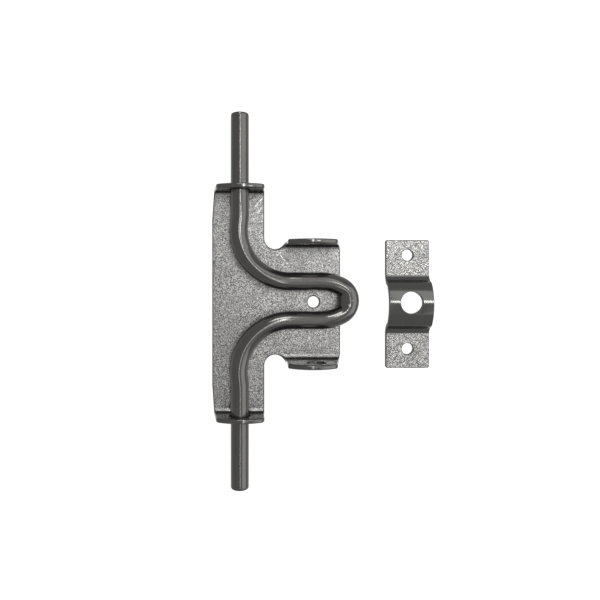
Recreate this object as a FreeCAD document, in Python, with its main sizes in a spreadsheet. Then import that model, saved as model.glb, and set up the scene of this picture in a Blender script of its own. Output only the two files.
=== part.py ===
# Slide bolt latch: a back plate folded from one sheet, a bolt bent from one round bar, and a keeper strap.
# Sizes in millimetres. The latch lies on its back, with the back of the sheets at z = 0 and +Z towards
# the viewer. +Y runs along the bolt and +X points to the padlock side. The origin is under the bolt's
# axis, midway between the two guide ears.

import FreeCAD, Part
import math
import os
import re
import Sketcher
from FreeCAD import Vector

SIZES = {
    # the sheet of the back plate and its folds
    "sheet": 3.2,
    "fold_radius": 3.0,
    # the column with the two guide ears
    "column_left": 19.8,
    "column_right": 16.9,
    "taper_start": 58.0,
    "guide_gap": 154.2,
    "guide_left": 18.5,
    "guide_rise": 20.8,
    "guide_crown": 4.2,
    "guide_lean": 2.9,
    "guide_corner": 4.6,
    # the wing with the two padlock ears
    "wing_reach": 70.3,
    "lock_gap": 78.8,
    "lock_width": 38.1,
    "lock_rise": 31.0,
    "lock_crown": 6.0,
    "lock_lean": 5.6,
    "lock_corner": 3.4,
    "lock_hole": 12.7,
    "lock_hole_rise": 19.8,
    "notch_bite": 2.2,
    "notch_flare": 2.8,
    "screw_hole": 8.0,
    "screw_place": 51.4,
    # the bolt
    "rod_diameter": 12.5,
    "rod_rise": 9.9,
    "rod_reach": 128.0,
    "rod_end_round": 1.3,
    "bend_radius": 35.5,
    "bend_swell": 0.8,
    "swell_radius": 36.0,
    "loop_half": 13.3,
    "loop_reach": 82.3,
    "tip_radius": 11.2,
    "tip_ease": 30.0,
    "tip_corner": 8.6,
    "tip_shy": 0.05,
    "tip_lead": 3.0,
    "guide_play": 0.55,
    "rest_gap": 0.3,
    "rest_shift": 1.2,
    # the keeper
    "strap": 3.2,
    "strap_width": 30.5,
    "strap_length": 90.0,
    "strap_corner": 1.4,
    "strap_fold": 6.0,
    "arch_width": 30.4,
    "arch_rise": 14.5,
    "arch_radius": 24.0,
    "arch_shoulder": 4.6,
    "leg_slope": 2.3,
    "catch_hole": 15.0,
    "foot_hole": 8.0,
    "foot_margin": 12.05,
    "punch_shift": 1.5,
    "keeper_x": 117.5,
    "keeper_y": -1.5,
}

# lengths and angles that follow from the sizes
FOLLOWING = {
    "guide_face": "guide_gap / 2",
    "ear_top": "sheet + guide_rise",
    "ear_side_top": "ear_top - guide_crown",
    "ear_left": "guide_left - guide_lean",
    "ear_half": "(column_right + ear_left) / 2",
    "ear_arc": "(ear_half ^ 2 + guide_crown ^ 2) / (2 * guide_crown)",
    "lock_face": "lock_gap / 2",
    "lock_left": "wing_reach - lock_width",
    "lock_top": "sheet + lock_rise",
    "lock_side_top": "lock_top - lock_crown",
    "lock_half": "(lock_width - lock_lean) / 2",
    "lock_arc": "(lock_half ^ 2 + lock_crown ^ 2) / (2 * lock_crown)",
    "notch_radius": "(lock_left - column_right) / 2",
    "notch_middle": "(lock_left + column_right) / 2",
    "notch_centre": "lock_face - notch_bite + notch_radius",
    "rod_radius": "rod_diameter / 2",
    "tip_turn": "acos((tip_ease - loop_half) / (tip_ease - tip_radius))",
    "tip_centre": "loop_reach - rod_radius - tip_radius",
    "ease_x": "tip_centre - (tip_ease - tip_radius) * sin(tip_turn)",
    "tip_start": "ease_x - tip_lead",
    "corner_x": "tip_centre + (tip_radius - tip_corner) * sin(tip_turn)",
    "corner_y": "(tip_radius - tip_corner) * cos(tip_turn)",
    "swell_turn": "acos(1 - bend_swell / (bend_radius + swell_radius))",
    "rest_lean": "acos((rod_radius + rest_gap) / sqrt(rod_rise ^ 2 + wing_reach ^ 2))"
                 " - atan(wing_reach / rod_rise)",
    "strap_end": "strap_length / 2",
    "hole_row": "strap_end - foot_margin",
    "arch_half": "arch_width / 2",
    "arch_centre": "arch_rise - arch_radius",
    "vault_radius": "arch_radius - strap",
    "shoulder_z": "arch_centre + sqrt(arch_radius ^ 2 - arch_half ^ 2)",
    "leg_tilt": "leg_slope / (shoulder_z - strap)",
    "leg_secant": "1 + leg_tilt ^ 2",
    "fold_y": "arch_half + leg_tilt * shoulder_z - strap * sqrt(leg_secant)",
    "fold_sum": "leg_tilt * fold_y + arch_centre",
    "fold_rest": "fold_y ^ 2 + arch_centre ^ 2 - vault_radius ^ 2",
    "vault_z": "(fold_sum + sqrt(fold_sum ^ 2 - leg_secant * fold_rest)) / leg_secant",
    "vault_y": "fold_y - leg_tilt * vault_z",
}
SPARE = "5"

# how close two lengths have to be to count as equal, and the least volume that a cut has to take away
NEAR = 0.01
LEAST_CUT = 1.0

doc = FreeCAD.newDocument("slide_bolt_latch")
sizes = doc.addObject("Spreadsheet::Sheet", "sizes")
for row, (word, amount) in enumerate([*SIZES.items(), *FOLLOWING.items()], start=1):
    sizes.set(f"A{row}", word)
    sizes.set(f"B{row}", str(amount) if word in SIZES else "=" + amount)
    sizes.setAlias(f"B{row}", word)
doc.recompute()


def linked(formula):
    """The formula with each size's word turned into a reference to its cell."""
    def cell(match):
        known = match[0] in SIZES or match[0] in FOLLOWING
        return "sizes." + match[0] if known else match[0]
    return re.sub(r"[A-Za-z_]+", cell, formula)


def value(formula):
    """What the formula gives for the sizes as they are."""
    result = sizes.evalExpression(linked(formula))
    return float(getattr(result, "Value", result))


def make_body(name):
    body = doc.addObject("PartDesign::Body", name)
    body.Label = name
    return body


def make_sketch(body, name, role, offset=None):
    """A sketch on one of the body's own planes, moved along its normal by a formula."""
    sketch = body.newObject("Sketcher::SketchObject", name)
    plane = [p for p in body.Origin.OriginFeatures if p.Role == role][0]
    sketch.AttachmentSupport = [(plane, "")]
    sketch.MapMode = "FlatFace"
    if offset:
        sketch.setExpression(".AttachmentOffset.Base.z", linked(offset))
    return sketch


def constrain(sketch, formula, kind, *where):
    """Adds a constraint whose size follows a formula."""
    index = sketch.addConstraint(Sketcher.Constraint(kind, *where, value(formula)))
    sketch.setExpression(f"Constraints[{index}]", linked(formula))


def place_point(sketch, geometry, point, x, y):
    """Ties one point of the sketch to two formulas, measured from the origin."""
    constrain(sketch, x, "DistanceX", -1, 1, geometry, point)
    constrain(sketch, y, "DistanceY", -1, 1, geometry, point)


def add_circle(sketch, x, y, radius):
    centre = Vector(value(x), value(y), 0)
    circle = sketch.addGeometry(Part.Circle(centre, Vector(0, 0, 1), value(radius)), False)
    place_point(sketch, circle, 3, x, y)
    constrain(sketch, radius, "Radius", circle)


def add_outline(sketch, corners, arcs=None):
    """A closed outline through corners that are given as formulas. Its sides are straight, but for the
    arcs: the number of a side gives its radius and the height of its highest point."""
    arcs = arcs or {}
    spots = [Vector(value(x), value(y), 0) for x, y in corners]
    sides, ends = [], []
    for i, (a, b) in enumerate(zip(spots, spots[1:] + spots[:1])):
        if i in arcs:
            top = Vector((a.x + b.x) / 2, value(arcs[i][1]), 0)
            sides.append(sketch.addGeometry(Part.Arc(a, top, b), False))
            # an arc's ends run anticlockwise
            ends.append((2, 1) if a.x < b.x else (1, 2))
        else:
            sides.append(sketch.addGeometry(Part.LineSegment(a, b), False))
            ends.append((1, 2))
    for i, side in enumerate(sides):
        after = (i + 1) % len(sides)
        sketch.addConstraint(
            Sketcher.Constraint("Coincident", side, ends[i][1], sides[after], ends[after][0]))
        place_point(sketch, side, ends[i][0], *corners[i])
        if i in arcs:
            constrain(sketch, arcs[i][0], "Radius", side)


def add_folded(sketch, corners):
    """A closed outline of level and upright sides. A corner is (x, y, radius), with None if it is sharp."""
    count = len(corners)
    spots = [Vector(value(x), value(y), 0) for x, y, _ in corners]
    radii = [value(radius) if radius else 0.0 for _, _, radius in corners]
    ways = [(spots[(i + 1) % count] - spots[i]).normalize() for i in range(count)]
    sides = []
    for i in range(count):
        after = (i + 1) % count
        start = spots[i] + ways[i] * radii[i]
        end = spots[after] - ways[i] * radii[after]
        sides.append(sketch.addGeometry(Part.LineSegment(start, end), False))
    for i, side in enumerate(sides):
        x, y, _ = corners[i]
        if abs(ways[i].y) > 0.5:
            sketch.addConstraint(Sketcher.Constraint("Vertical", side))
            constrain(sketch, x, "DistanceX", -1, 1, side, 1)
        else:
            sketch.addConstraint(Sketcher.Constraint("Horizontal", side))
            constrain(sketch, y, "DistanceY", -1, 1, side, 1)
    for i in range(count):
        before, side, radius = sides[i - 1], sides[i], corners[i][2]
        if radius is None:
            sketch.addConstraint(Sketcher.Constraint("Coincident", before, 2, side, 1))
            continue
        start = spots[i] - ways[i - 1] * radii[i]
        end = spots[i] + ways[i] * radii[i]
        centre = start + ways[i] * radii[i]
        middle = centre + (spots[i] - centre).normalize() * radii[i]
        arc = sketch.addGeometry(Part.Arc(start, middle, end), False)
        left_turn = ways[i - 1].cross(ways[i]).z > 0
        first, last = (1, 2) if left_turn else (2, 1)
        sketch.addConstraint(Sketcher.Constraint("Tangent", before, 2, arc, first))
        sketch.addConstraint(Sketcher.Constraint("Tangent", arc, last, side, 1))
        constrain(sketch, radius, "Radius", arc)


def add_slot(sketch, x, y_centre, y_far, radius):
    """A slot along y with one round end, centred at y_centre, and a square end at y_far."""
    way = 1 if value(y_far) > value(y_centre) else -1
    cx, cy, r = value(x), value(y_centre), value(radius)
    left, right, far = f"{x} - ({radius})", f"{x} + ({radius})", value(y_far)
    a, b = Vector(cx - r, cy, 0), Vector(cx + r, cy, 0)
    arc = sketch.addGeometry(Part.Arc(a, Vector(cx, cy - way * r, 0), b), False)
    c, d = Vector(cx + r, far, 0), Vector(cx - r, far, 0)
    sides = [sketch.addGeometry(Part.LineSegment(p, q), False) for p, q in ((b, c), (c, d), (d, a))]
    a_end, b_end = (1, 2) if way > 0 else (2, 1)
    sketch.addConstraint(Sketcher.Constraint("Coincident", arc, b_end, sides[0], 1))
    sketch.addConstraint(Sketcher.Constraint("Coincident", sides[0], 2, sides[1], 1))
    sketch.addConstraint(Sketcher.Constraint("Coincident", sides[1], 2, sides[2], 1))
    sketch.addConstraint(Sketcher.Constraint("Coincident", sides[2], 2, arc, a_end))
    place_point(sketch, arc, 3, x, y_centre)
    place_point(sketch, sides[0], 1, right, y_centre)
    place_point(sketch, sides[1], 1, right, y_far)
    place_point(sketch, sides[2], 1, left, y_far)
    constrain(sketch, y_centre, "DistanceY", -1, 1, arc, a_end)


def pad(body, name, sketch, length, centred=False):
    feature = body.newObject("PartDesign::Pad", name)
    feature.Profile = sketch
    feature.Midplane = centred
    feature.setExpression("Length", linked(length))
    body.Tip = feature
    doc.recompute()


def cut_through(body, name, sketch):
    """Cuts the sketch's outline through the whole piece, both ways."""
    before = body.Shape.Volume
    feature = body.newObject("PartDesign::Pocket", name)
    feature.Profile = sketch
    feature.Type = "ThroughAll"
    feature.Midplane = True
    body.Tip = feature
    doc.recompute()
    if body.Shape.Volume > before - LEAST_CUT:
        raise RuntimeError(name + " cut nothing")


def round_edges(body, name, radius, wanted):
    """Rounds each edge of the body for which wanted(edge) is true."""
    base = body.Tip
    names = [f"Edge{i}" for i, edge in enumerate(base.Shape.Edges, start=1) if wanted(edge)]
    if not names:
        raise RuntimeError(name + " found no edge")
    feature = body.newObject("PartDesign::Fillet", name)
    feature.Base = (base, names)
    feature.setExpression("Radius", linked(radius))
    body.Tip = feature
    doc.recompute()


def channel_section(sketch, face, rise):
    """The section of a folded channel: a flat base with an ear turned up at each end."""
    back = f"({face} + sheet)"
    top = f"sheet + {rise}"
    add_folded(sketch, [
        (f"-{back}", "0", "fold_radius + sheet"), (back, "0", "fold_radius + sheet"),
        (back, top, None), (face, top, None),
        (face, "sheet", "fold_radius"), (f"-({face})", "sheet", "fold_radius"),
        (f"-({face})", top, None), (f"-{back}", top, None)])


def ear_corners(height):
    """Picks the short edges across the sheet at a given height, where an ear's sides meet its top."""
    level = value(height)

    def wanted(edge):
        box = edge.BoundBox
        return box.XLength < NEAR and box.ZLength < NEAR and abs(box.ZMin - level) < NEAR
    return wanted


def build_back_plate():
    """One sheet: a column with a guide ear at each end and a wing with a padlock ear at each side."""
    body = make_body("back_plate")

    # the column, folded up at both ends
    section = make_sketch(body, "guide_section", "YZ_Plane", "-column_left")
    channel_section(section, "guide_face", "guide_rise")
    pad(body, "guide_channel", section, "column_left + column_right")

    # its left edge narrows towards the ears
    taper = make_sketch(body, "taper_outline", "XY_Plane")
    for way in ("", "-"):
        add_outline(taper, [
            ("-column_left", f"{way}taper_start"),
            ("-guide_left", f"{way}guide_face"),
            ("-guide_left", f"{way}(guide_face + sheet + {SPARE})"),
            (f"-column_left - {SPARE}", f"{way}(guide_face + sheet + {SPARE})"),
            (f"-column_left - {SPARE}", f"{way}taper_start")])
    cut_through(body, "taper", taper)

    # the guide ears have a bowed top, a left side that leans in, and round corners
    ears = make_sketch(body, "guide_ear_outline", "XZ_Plane")
    over = f"ear_top + {SPARE}"
    add_outline(ears, [
        (f"-column_left - {SPARE}", "sheet"), (f"-column_left - {SPARE}", over),
        (f"column_right + {SPARE}", over), (f"column_right + {SPARE}", "sheet"),
        ("column_right", "sheet"), ("column_right", "ear_side_top"),
        ("-ear_left", "ear_side_top"), ("-guide_left", "sheet")], {5: ("ear_arc", "ear_top")})
    cut_through(body, "guide_ears", ears)
    round_edges(body, "guide_ear_corners", "guide_corner", ear_corners("ear_side_top"))

    # the wing, folded up at both sides
    section = make_sketch(body, "lock_section", "YZ_Plane", "column_right")
    channel_section(section, "lock_face", "lock_rise")
    pad(body, "lock_channel", section, "wing_reach - column_right")

    # beside the column the sheet stays flat up to the middle of the notch
    flat = make_sketch(body, "notch_flat", "XY_Plane")
    add_outline(flat, [
        ("column_right - sheet", "-notch_centre"), ("notch_middle", "-notch_centre"),
        ("notch_middle", "notch_centre"), ("column_right - sheet", "notch_centre")])
    pad(body, "notch_flats", flat, "sheet")

    # the padlock ears stop short of the column; their top is bowed and their outer side leans in, and
    # their inner side widens into the fold, where the notch cuts it round
    ears = make_sketch(body, "lock_ear_outline", "XZ_Plane")
    over = f"lock_top + {SPARE}"
    add_outline(ears, [
        ("column_right", "sheet"), ("column_right", over), (f"wing_reach + {SPARE}", over),
        (f"wing_reach + {SPARE}", "sheet"), ("wing_reach", "sheet"),
        ("wing_reach - lock_lean", "lock_side_top"), ("lock_left", "lock_side_top"),
        ("lock_left", "sheet + fold_radius"), ("lock_left - notch_flare", "sheet")],
        {5: ("lock_arc", "lock_top")})
    cut_through(body, "lock_ears", ears)
    round_edges(body, "lock_ear_corners", "lock_corner", ear_corners("lock_side_top"))

    # a round-bottomed notch parts each padlock ear from the column
    notches = make_sketch(body, "notch_outline", "XY_Plane")
    for way in ("", "-"):
        add_slot(notches, "notch_middle", f"{way}notch_centre",
                 f"{way}(guide_face - {SPARE})", "notch_radius")
    cut_through(body, "notches", notches)

    # the guide holes, the padlock holes and the screw hole
    holes = make_sketch(body, "guide_hole_outline", "XZ_Plane")
    add_circle(holes, "0", "sheet + rod_rise", "rod_radius + guide_play")
    cut_through(body, "guide_holes", holes)
    holes = make_sketch(body, "lock_hole_outline", "XZ_Plane")
    add_circle(holes, "wing_reach - lock_width / 2", "sheet + lock_hole_rise", "lock_hole / 2")
    cut_through(body, "lock_holes", holes)
    holes = make_sketch(body, "screw_hole_outline", "XY_Plane")
    add_circle(holes, "screw_place", "0", "screw_hole / 2")
    cut_through(body, "screw_hole", holes)
    return body


def arc_through(centre, radius, start, stop):
    """An arc round a centre, between two bearings in radians."""
    spots = [Vector(centre[0] + radius * math.cos(angle), centre[1] + radius * math.sin(angle), 0)
             for angle in (start, (start + stop) / 2, stop)]
    return Part.Arc(*spots)


def bolt_path(sketch):
    """The bar's centre line: two straight ends and a loop whose legs draw together at the tip."""
    reach, loop, bend = value("rod_reach"), value("loop_half"), value("bend_radius")
    back, ease, tip = value("swell_radius"), value("tip_ease"), value("tip_radius")
    ease_x, tip_x = value("ease_x"), value("tip_centre")
    bend_x, bend_y = bend - value("bend_swell"), loop + bend
    turn, tip_turn = math.radians(value("swell_turn")), math.radians(value("tip_turn"))
    join_y = bend_y + (bend + back) * math.sin(turn)
    quarter = math.pi / 2

    ends = []
    for way, sign in ((1, ""), (-1, "-")):
        def spot(x, y):
            return Vector(x, way * y, 0)
        straight = sketch.addGeometry(Part.LineSegment(spot(0, reach), spot(0, join_y)), False)
        sway = sketch.addGeometry(arc_through((-back, way * join_y), back, 0, -way * turn), False)
        curve = sketch.addGeometry(
            arc_through((bend_x, way * bend_y), bend, way * (math.pi - turn), way * 3 * quarter), False)
        leg = sketch.addGeometry(Part.LineSegment(spot(bend_x, loop), spot(ease_x, loop)), False)
        draw_in = sketch.addGeometry(arc_through(
            (ease_x, way * (loop - ease)), ease, way * quarter, way * (quarter - tip_turn)), False)
        ends.append((straight, sway, curve, leg, draw_in, sign))
    tip_arc = sketch.addGeometry(
        arc_through((tip_x, 0), tip, tip_turn - quarter, quarter - tip_turn), False)

    for straight, sway, curve, leg, draw_in, sign in ends:
        # an arc's ends run anticlockwise, so they swap between the two halves
        first, last = (2, 1) if sign == "" else (1, 2)
        sketch.addConstraint(Sketcher.Constraint("PointOnObject", straight, 1, -2))
        sketch.addConstraint(Sketcher.Constraint("Vertical", straight))
        constrain(sketch, f"{sign}rod_reach", "DistanceY", -1, 1, straight, 1)
        for before, end, after, start in (
                (straight, 2, sway, first), (sway, last, curve, last), (curve, first, leg, 1),
                (leg, 2, draw_in, first), (draw_in, last, tip_arc, first)):
            sketch.addConstraint(Sketcher.Constraint("Tangent", before, end, after, start))
        constrain(sketch, "swell_radius", "Radius", sway)
        constrain(sketch, "bend_radius", "Radius", curve)
        constrain(sketch, "tip_ease", "Radius", draw_in)
        place_point(sketch, curve, 3, "bend_radius - bend_swell", f"{sign}(loop_half + bend_radius)")
    place_point(sketch, tip_arc, 3, "tip_centre", "0")
    constrain(sketch, "tip_radius", "Radius", tip_arc)


def tip_path(sketch):
    """The line of the metal that the tight bend has spread inwards: the loop's tip, with squarer corners."""
    loop, ease, corner = value("loop_half"), value("tip_ease"), value("tip_corner")
    start, ease_x = value("tip_start"), value("ease_x")
    corner_x, corner_y, tip_turn = value("corner_x"), value("corner_y"), math.radians(value("tip_turn"))
    quarter = math.pi / 2
    legs, eases, corners = [], [], []
    for way in (1, -1):
        legs.append(sketch.addGeometry(
            Part.LineSegment(Vector(start, way * loop, 0), Vector(ease_x, way * loop, 0)), False))
        eases.append(sketch.addGeometry(arc_through(
            (ease_x, way * (loop - ease)), ease, way * quarter, way * (quarter - tip_turn)), False))
        corners.append(sketch.addGeometry(
            arc_through((corner_x, way * corner_y), corner, way * (quarter - tip_turn), 0), False))
    far = corner_x + corner
    across = sketch.addGeometry(Part.LineSegment(Vector(far, corner_y, 0), Vector(far, -corner_y, 0)), False)
    for leg, ease_arc, corner_arc, sign, end in zip(legs, eases, corners, ("", "-"), (1, 2)):
        # an arc's ends run anticlockwise, so they swap between the two halves
        first, last = (2, 1) if sign == "" else (1, 2)
        for before, out, after, into in ((leg, 2, ease_arc, first), (ease_arc, last, corner_arc, first),
                                         (corner_arc, last, across, end)):
            sketch.addConstraint(Sketcher.Constraint("Tangent", before, out, after, into))
        sketch.addConstraint(Sketcher.Constraint("Horizontal", leg))
        place_point(sketch, leg, 1, "tip_start", f"{sign}loop_half")
        place_point(sketch, corner_arc, 3, "corner_x", f"{sign}corner_y")
        constrain(sketch, "tip_ease", "Radius", ease_arc)
        constrain(sketch, "tip_corner", "Radius", corner_arc)


def sweep_round(body, name, section, path):
    """Sweeps a round section along the whole of a path and joins it to the body."""
    sweep = body.newObject("PartDesign::AdditivePipe", name)
    sweep.Profile = section
    sweep.Spine = (path, [f"Edge{i + 1}" for i in range(len(path.Shape.Edges))])
    body.Tip = sweep
    doc.recompute()


def build_bolt_rod():
    """One round bar, bent to a loop handle, with an end to throw through each guide ear."""
    body = make_body("bolt_rod")
    path = make_sketch(body, "rod_path", "XY_Plane")
    bolt_path(path)
    section = make_sketch(body, "rod_section", "XZ_Plane", "-rod_reach")
    add_circle(section, "0", "0", "rod_radius")
    doc.recompute()
    sweep_round(body, "bent_rod", section, path)

    # the tight bend has spread the bar a little at the loop's tip
    path = make_sketch(body, "tip_line", "XY_Plane")
    tip_path(path)
    section = make_sketch(body, "tip_section", "YZ_Plane", "tip_start")
    add_circle(section, "loop_half", "0", "rod_radius - tip_shy")
    doc.recompute()
    sweep_round(body, "tip_swelling", section, path)
    reach = value("rod_reach")

    def at_an_end(edge):
        return abs(abs(edge.CenterOfMass.y) - reach) < NEAR
    round_edges(body, "rod_ends", "rod_end_round", at_an_end)

    # the bolt rests with its loop laid down until the legs meet the wing's edge
    body.setExpression(".Placement.Base.y", linked("rest_shift"))
    body.setExpression(".Placement.Base.z", linked("sheet + rod_rise"))
    body.Placement.Rotation = FreeCAD.Rotation(Vector(0, 1, 0), value("rest_lean"))
    body.setExpression(".Placement.Rotation.Angle", linked("rest_lean"))
    doc.recompute()
    return body


def keeper_section(sketch):
    """The strap's side view: two flat feet, two sloping legs and an arched crown of even thickness."""
    add_outline(sketch, [
        ("-strap_end", "0"), ("-strap_end", "strap"), ("-arch_half - leg_slope", "strap"),
        ("-arch_half", "shoulder_z"), ("arch_half", "shoulder_z"), ("arch_half + leg_slope", "strap"),
        ("strap_end", "strap"), ("strap_end", "0"), ("fold_y", "0"), ("vault_y", "vault_z"),
        ("-vault_y", "vault_z"), ("-fold_y", "0")],
        {3: ("arch_radius", "arch_rise"), 9: ("vault_radius", "arch_rise - strap")})


def build_keeper():
    """One strap, arched clear of the frame, with the hole for the bolt's end in its crown."""
    body = make_body("keeper")
    section = make_sketch(body, "strap_section", "YZ_Plane")
    keeper_section(section)
    pad(body, "bent_strap", section, "strap_width", centred=True)

    # the folds at the feet and the shoulders of the arch, outside and inside
    def edges_along(y, z):
        side, height = value(y), value(z)

        def wanted(edge):
            box = edge.BoundBox
            return (box.YLength < NEAR and box.ZLength < NEAR and abs(abs(box.YMin) - side) < NEAR
                    and abs(box.ZMin - height) < NEAR)
        return wanted
    round_edges(body, "foot_folds_over", "strap_fold", edges_along("arch_half + leg_slope", "strap"))
    round_edges(body, "foot_folds_under", "strap_fold + strap", edges_along("fold_y", "0"))
    round_edges(body, "shoulders_over", "arch_shoulder", edges_along("arch_half", "shoulder_z"))
    round_edges(body, "shoulders_under", "arch_shoulder - strap", edges_along("vault_y", "vault_z"))

    # three holes, punched a little off the middle of the strap
    holes = make_sketch(body, "strap_hole_outline", "XY_Plane")
    add_circle(holes, "0", "punch_shift", "catch_hole / 2")
    for way in ("+", "-"):
        add_circle(holes, "0", f"punch_shift {way} hole_row", "foot_hole / 2")
    cut_through(body, "strap_holes", holes)

    # the four corners of the feet
    end, wall = value("strap_end"), value("strap")
    round_edges(body, "foot_corners", "strap_corner",
                lambda e: abs(e.BoundBox.ZLength - wall) < NEAR and abs(abs(e.BoundBox.YMin) - end) < NEAR
                and e.BoundBox.XLength < NEAR)
    body.setExpression(".Placement.Base.x", linked("keeper_x"))
    body.setExpression(".Placement.Base.y", linked("keeper_y"))
    doc.recompute()
    return body


def write_parts(bodies):
    """Checks every object and every solid, then writes one file for each piece."""
    doc.recompute()
    for thing in doc.Objects:
        if {"Invalid", "Error"} & set(thing.State):
            raise RuntimeError(f"{thing.Name} failed: {thing.State}")
    os.makedirs("parts", exist_ok=True)
    for body in bodies:
        shape = body.Shape
        if shape.isNull() or not shape.isValid() or len(shape.Solids) != 1:
            raise RuntimeError(f"{body.Label} is not one valid solid")
        shape.exportStep(os.path.join("parts", body.Label + ".step"))
        box = shape.BoundBox
        print(f"{body.Label}: {shape.Volume / 1000:.2f} cm3,"
              f" x {box.XMin:.1f} {box.XMax:.1f}, y {box.YMin:.1f} {box.YMax:.1f},"
              f" z {box.ZMin:.2f} {box.ZMax:.2f}")


write_parts([build_back_plate(), build_bolt_rod(), build_keeper()])
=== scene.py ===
"""A slide bolt latch and its keeper: coated plate, bent bolt and arched strap, with their stage."""

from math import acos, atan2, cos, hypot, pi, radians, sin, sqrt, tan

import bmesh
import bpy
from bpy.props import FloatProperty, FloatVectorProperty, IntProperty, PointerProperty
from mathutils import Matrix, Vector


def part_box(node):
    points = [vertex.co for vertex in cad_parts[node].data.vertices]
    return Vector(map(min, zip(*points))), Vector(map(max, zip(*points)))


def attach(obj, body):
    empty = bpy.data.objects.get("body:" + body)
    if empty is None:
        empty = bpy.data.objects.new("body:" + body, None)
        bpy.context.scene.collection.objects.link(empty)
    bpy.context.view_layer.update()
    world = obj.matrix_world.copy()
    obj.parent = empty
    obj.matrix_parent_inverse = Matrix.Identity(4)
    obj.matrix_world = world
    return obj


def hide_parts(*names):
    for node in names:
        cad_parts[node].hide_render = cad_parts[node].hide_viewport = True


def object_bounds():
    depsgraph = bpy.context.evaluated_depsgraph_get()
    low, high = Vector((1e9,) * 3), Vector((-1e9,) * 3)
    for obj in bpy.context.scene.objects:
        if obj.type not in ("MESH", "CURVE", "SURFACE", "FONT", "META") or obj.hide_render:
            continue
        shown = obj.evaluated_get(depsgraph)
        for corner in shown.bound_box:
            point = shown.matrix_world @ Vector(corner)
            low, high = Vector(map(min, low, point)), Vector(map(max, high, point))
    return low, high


bl_info = {
    "name": "Slide Bolt Latch",
    "version": (1, 0, 0),
    "blender": (4, 5, 0),
    "location": "View3D > Sidebar > Slide Bolt",
    "description": "Builds a slide bolt latch with its keeper on a pale floor",
    "category": "Add Mesh",
}

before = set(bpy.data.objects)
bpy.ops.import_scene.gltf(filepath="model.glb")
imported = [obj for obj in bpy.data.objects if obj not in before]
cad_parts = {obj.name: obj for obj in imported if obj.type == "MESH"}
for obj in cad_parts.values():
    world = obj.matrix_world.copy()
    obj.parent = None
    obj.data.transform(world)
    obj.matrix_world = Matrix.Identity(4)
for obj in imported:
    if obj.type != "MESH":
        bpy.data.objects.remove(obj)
cad_low, cad_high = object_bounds()

MM = 0.001
WHITE = (1.0, 1.0, 1.0, 1.0)
# the mark on the points of the plate's rounded cut edges, where painted shade darkens the coating
RIM = "rim"


# kinds of settings

def length_setting(name, description, millimetres, precision=4):
    return FloatProperty(
        name=name, description=description, default=millimetres * MM, unit="LENGTH", precision=precision)


def share_setting(name, description, default):
    return FloatProperty(name=name, description=description, default=default, min=0.0, max=1.0)


def strength_setting(name, description, default):
    return FloatProperty(name=name, description=description, default=default, min=0.0)


def colour_setting(name, description, red, green, blue):
    return FloatVectorProperty(
        name=name, description=description, subtype="COLOR", size=4, default=(red, green, blue, 1.0),
        min=0.0, max=1.0)


class SheetSettings(bpy.types.PropertyGroup):
    """The plate's flat sheet and its folds, and the rounded cut edges of the plate and the keeper."""
    thickness: length_setting("Thickness", "Thickness of the sheet", 3.2)
    fold_radius: length_setting("Fold radius", "Radius of the inner side of each fold", 3.0)
    fold_steps: IntProperty(name="Fold steps", description="Strips across each fold", default=9, min=2)
    edge_round: length_setting("Edge round", "Radius of the coated, rounded cut edges", 0.9, precision=5)
    strap_round: length_setting(
        "Strap round", "Radius of the keeper's coated, rounded cut edges", 0.5, precision=5)
    edge_steps: IntProperty(name="Edge steps", description="Faces across each rounded edge", default=3, min=1)
    column_left: length_setting("Column left", "From the bolt's axis to the column's left edge", 19.8)
    column_right: length_setting("Column right", "From the bolt's axis to the column's right edge", 16.9)
    taper_start: length_setting("Taper start", "Where the left edge starts to narrow", 58.0)
    wing_reach: length_setting("Wing reach", "From the bolt's axis to the wing's right edge", 70.3)
    guide_face: length_setting("Guide face", "From the middle to the inner face of a guide ear", 77.1)
    guide_left: length_setting("Guide left", "From the bolt's axis to the left foot of a guide ear", 18.5)
    guide_lean: length_setting("Guide lean", "How far a guide ear's left side leans in", 2.9)
    guide_side: length_setting("Guide side", "Height of a guide ear's sides", 19.8)
    guide_crown: length_setting("Guide crown", "How far a guide ear's top bows up", 4.2)
    guide_corner: length_setting("Guide corner", "Radius of a guide ear's corners", 4.6)
    guide_hole: length_setting("Guide hole", "Diameter of the bolt's hole in a guide ear", 13.6)
    lock_face: length_setting("Lock face", "From the middle to the inner face of a padlock ear", 39.4)
    lock_left: length_setting("Lock left", "From the bolt's axis to the left side of a padlock ear", 32.2)
    lock_lean: length_setting("Lock lean", "How far a padlock ear's right side leans in", 5.6)
    lock_side: length_setting("Lock side", "Height of a padlock ear's sides", 28.2)
    lock_crown: length_setting("Lock crown", "How far a padlock ear's top bows up", 6.0)
    lock_corner: length_setting("Lock corner", "Radius of a padlock ear's corners", 3.4)
    lock_hole: length_setting("Lock hole", "Diameter of the padlock's hole", 12.7)
    lock_hole_height: length_setting("Lock hole height", "Height of the padlock hole's middle", 23.0)
    notch_bottom: length_setting("Notch bottom", "From the middle to the bottom of a notch", 37.2)
    screw_hole: length_setting("Screw hole", "Diameter of the screw hole", 8.0)
    screw_place: length_setting("Screw place", "From the bolt's axis to the screw hole", 51.4)


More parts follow.
